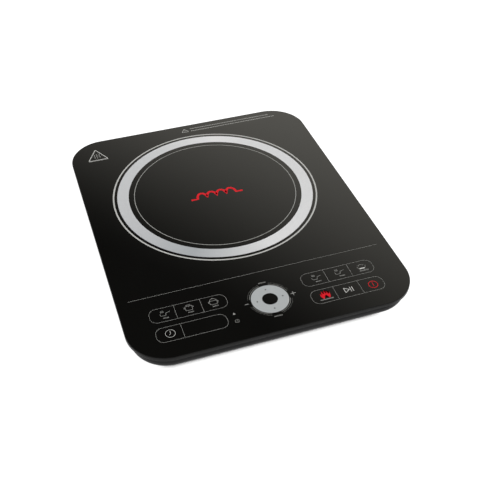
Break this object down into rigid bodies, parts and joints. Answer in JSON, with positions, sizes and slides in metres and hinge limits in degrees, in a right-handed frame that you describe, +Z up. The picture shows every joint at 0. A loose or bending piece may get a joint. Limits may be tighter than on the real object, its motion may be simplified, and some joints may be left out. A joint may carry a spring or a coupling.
{
  "type": "portable induction cooktop",
  "caption": "Slim countertop induction cooktop with a rounded black glass top, a ring-marked cooking zone, a flat touch panel at the front and a bevelled base tray on feet.",
  "frame": {"origin": "centre of the footprint on the table plane, under the middle of the glass", "axes": "+X to the user's right, +Y to the rear (the touch panel is at -Y), +Z up through the cooking surface"},
  "size_m": [0.281, 0.349, 0.038],
  "materials": {
    "ceramic_glass": "polished black glass ceramic",
    "case_plastic": "fine-grained moulded plastic",
    "seal_silicone": "satin",
    "foot_rubber": "matt",
    "screw_steel": "zinc plated",
    "spring_steel": "bright wire",
    "natural_nylon": "satin",
    "mica": "layered sheet",
    "litz_copper": "lacquered strands",
    "sleeving": "varnished glass-fibre sleeve",
    "former_plastic": "glass-filled plastic",
    "ferrite": "sintered",
    "sensor_can": "drawn metal can",
    "lead_insulation": "soft PVC",
    "shield_aluminium": "rolled sheet",
    "fan_plastic": "moulded",
    "motor_copper": "enamelled windings",
    "sintered_bronze": "oil-filled",
    "magnet_ferrite": "moulded ferrite",
    "shaft_steel": "ground",
    "board_laminate": "solder resist over laminate",
    "sink_aluminium": "extruded",
    "epoxy_black": "moulded epoxy",
    "core_coating": "epoxy-coated core",
    "film_case": "potted plastic case",
    "mains_film_case": "potted plastic case",
    "can_sleeve": "shrink-sleeved aluminium can",
    "transformer_tape": "tape over ferrite",
    "fuse_glass": "glass tube in tinned clips",
    "terminal_plastic": "moulded",
    "terminal_brass": "machined",
    "connector_plastic": "moulded",
    "display_plastic": "moulded with dark window",
    "lamp_plastic": "tinted lens",
    "ribbon_plastic": "flat cable"
  },
  "bodies": {
    "cooktop": {"glass_top": "ceramic_glass", "glass_seal": "seal_silicone", "top_frame": "case_plastic", "bottom_tray": "case_plastic", "tray_screws": "screw_steel", "foot_front_left": "foot_rubber", "foot_front_right": "foot_rubber", "foot_rear_left": "foot_rubber", "foot_rear_right": "foot_rubber", "cord_gland": "foot_rubber", "cord_clamp": "natural_nylon", "clamp_screws": "screw_steel", "mica_sheet": "mica", "coil_winding": "litz_copper", "coil_leads": "sleeving", "coil_former": "former_plastic", "ferrite_bars": "ferrite", "coil_spring_left": "spring_steel", "coil_spring_right": "spring_steel", "coil_spring_front": "spring_steel", "coil_screws": "screw_steel", "sensor_bracket": "natural_nylon", "sensor_spring": "spring_steel", "temperature_sensor": "sensor_can", "sensor_lead": "lead_insulation", "shield_plate": "shield_aluminium", "fan_frame": "fan_plastic", "fan_stator": "motor_copper", "fan_bearing": "sintered_bronze", "fan_screws": "screw_steel", "fan_lead": "lead_insulation", "power_board": "board_laminate", "board_screws": "screw_steel", "heat_sink": "sink_aluminium", "power_transistor": "epoxy_black", "bridge_rectifier": "epoxy_black", "heat_sink_screws": "screw_steel", "choke_core": "core_coating", "choke_winding": "litz_copper", "resonant_capacitor": "film_case", "filter_capacitor": "film_case", "mains_capacitor": "mains_film_case", "supply_capacitors": "can_sleeve", "supply_transformer": "transformer_tape", "fuse": "fuse_glass", "buzzer": "epoxy_black", "terminal_block": "terminal_plastic", "coil_terminals": "terminal_brass", "lead_connectors": "connector_plastic", "control_board": "board_laminate", "control_carrier": "former_plastic", "control_screws": "screw_steel", "touch_springs": "spring_steel", "controller_chip": "epoxy_black", "display_module": "display_plastic", "indicator_lamps": "lamp_plastic", "ribbon_cable": "ribbon_plastic"},
    "fan_rotor": {"fan_impeller": "fan_plastic", "fan_magnet": "magnet_ferrite", "fan_shaft": "shaft_steel"}
  },
  "joints": [
    {"name": "fan_spin", "type": "hinge", "parent": "cooktop", "child": "fan_rotor", "pos_m": [-0.058, 0.0405, 0.0135], "axis": [0, 0, 1], "continuous": true}
  ]
}
